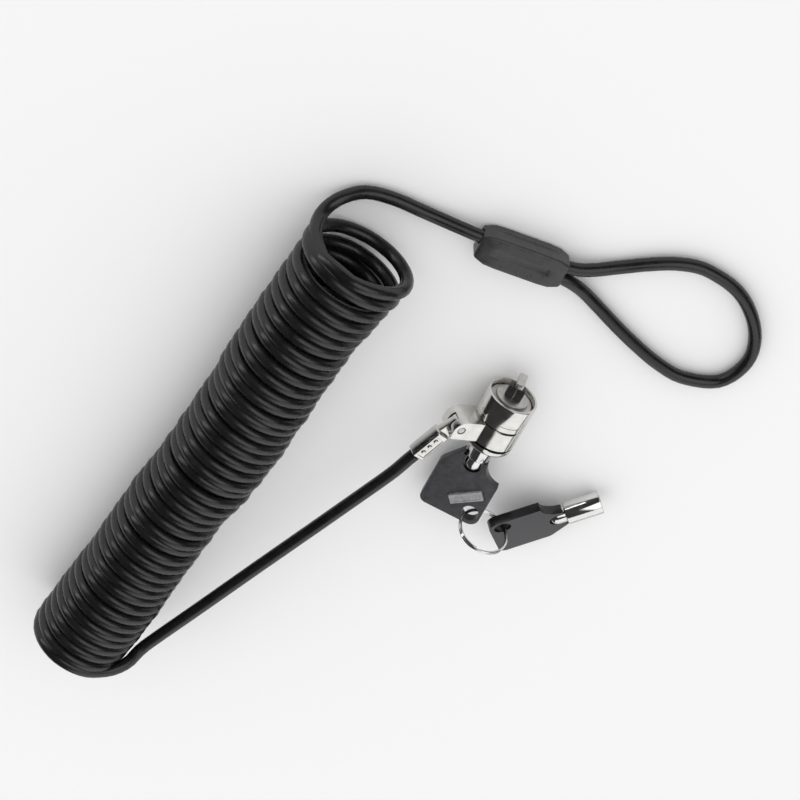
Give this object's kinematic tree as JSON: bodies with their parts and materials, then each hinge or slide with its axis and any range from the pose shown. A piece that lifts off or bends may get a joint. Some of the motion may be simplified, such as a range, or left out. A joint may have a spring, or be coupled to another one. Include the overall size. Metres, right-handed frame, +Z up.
{
  "type": "laptop cable lock",
  "caption": "Coiled security cable with a crimped loop at one end and, at the other, a swivelling tubular-key lock with a turning T-bar, its key pushed home and a spare key on a split ring.",
  "frame": {"origin": "centre of the T-bar's flat outer face, on the lock cylinder's axis", "axes": "+Y runs back along the lock cylinder towards the key, +Z up from the table the lock lies on, +X towards the swivel's arm and the coil"},
  "size_m": [0.1646, 0.2044, 0.0311],
  "materials": {
    "cable_jacket": "gloss",
    "sleeve_plastic": "gloss",
    "steel_strand": "satin",
    "crimp_metal": "gloss",
    "lock_nickel": "gloss",
    "satin_nickel": "satin",
    "brass": "satin",
    "spring_steel": "satin",
    "key_chrome": "gloss",
    "key_plastic": "satin",
    "badge_grey": "satin",
    "ring_nickel": "gloss"
  },
  "bodies": {
    "cable": {"cable_coil": "cable_jacket", "cable_loop": "cable_jacket", "cable_tail": "cable_jacket", "cable_ferrule": "crimp_metal", "tail_core_strand": "steel_strand", "loop_core_strand": "steel_strand", "loop_crimp": "crimp_metal", "loop_cover": "sleeve_plastic"},
    "yoke": {"swivel_ring": "lock_nickel", "yoke_pin": "satin_nickel"},
    "lock": {"lock_body": "lock_nickel", "nose_plate": "satin_nickel", "stator": "brass", "stator_pin": "spring_steel", "retaining_sleeve": "brass", "rear_cap": "lock_nickel", "driver_spring_1": "spring_steel", "driver_spring_2": "spring_steel", "driver_spring_3": "spring_steel", "driver_spring_4": "spring_steel"},
    "driver_pins": {"driver_pin_1": "brass", "driver_pin_2": "brass", "driver_pin_3": "brass", "driver_pin_4": "brass"},
    "plug": {"plug": "brass", "t_bar": "satin_nickel"},
    "key_pins": {"key_pin_1": "brass", "key_pin_2": "brass", "key_pin_3": "brass", "key_pin_4": "brass"},
    "key": {"key_barrel": "key_chrome", "key_head": "key_plastic", "key_badge": "badge_grey"},
    "ring": {"key_ring": "ring_nickel"},
    "spare_key": {"spare_key_barrel": "key_chrome", "spare_key_head": "key_plastic", "spare_key_badge": "badge_grey"}
  },
  "joints": [
    {"name": "yoke_pivot", "type": "hinge", "parent": "cable", "child": "yoke", "pos_m": [0.01267, 0.0189, 0.00436], "axis": [-0.3256, 0, 0.9455], "range_deg": [-15, 50]},
    {"name": "lock_swivel", "type": "hinge", "parent": "yoke", "child": "lock", "pos_m": [0, 0.019, 0], "axis": [0, 1, 0], "range_deg": [-60, 60]},
    {"name": "driver_pin_slide", "type": "slide", "parent": "lock", "child": "driver_pins", "axis": [0, 1, 0], "range_m": [0, 0.0014], "deforming": ["driver_spring_1", "driver_spring_2", "driver_spring_3", "driver_spring_4"]},
    {"name": "plug_turn", "type": "hinge", "parent": "lock", "child": "plug", "pos_m": [0, 0.019, 0], "axis": [0, 1, 0], "range_deg": [0, 90]},
    {"name": "key_pin_slide", "type": "slide", "parent": "plug", "child": "key_pins", "axis": [0, 1, 0], "range_m": [0, 0.0014]},
    {"name": "key_slide", "type": "slide", "parent": "plug", "child": "key", "axis": [0, 1, 0], "range_m": [0, 0.012]},
    {"name": "ring_swing", "type": "hinge", "parent": "key", "child": "ring", "pos_m": [-0.0067, 0.0515, 0.00167], "axis": [0.2419, 0, 0.9703], "range_deg": [-20, 30]},
    {"name": "spare_swing", "type": "hinge", "parent": "ring", "child": "spare_key", "pos_m": [-0.01724, 0.05192, 0.00274], "axis": [0.3529, -0.2295, -0.9071], "range_deg": [-25, 25]}
  ],
  "couplings": [
    {"joint": "driver_pin_slide", "follows": "key_slide", "ratio": 0.11666},
    {"joint": "key_pin_slide", "follows": "key_slide", "ratio": 0.11666}
  ]
}
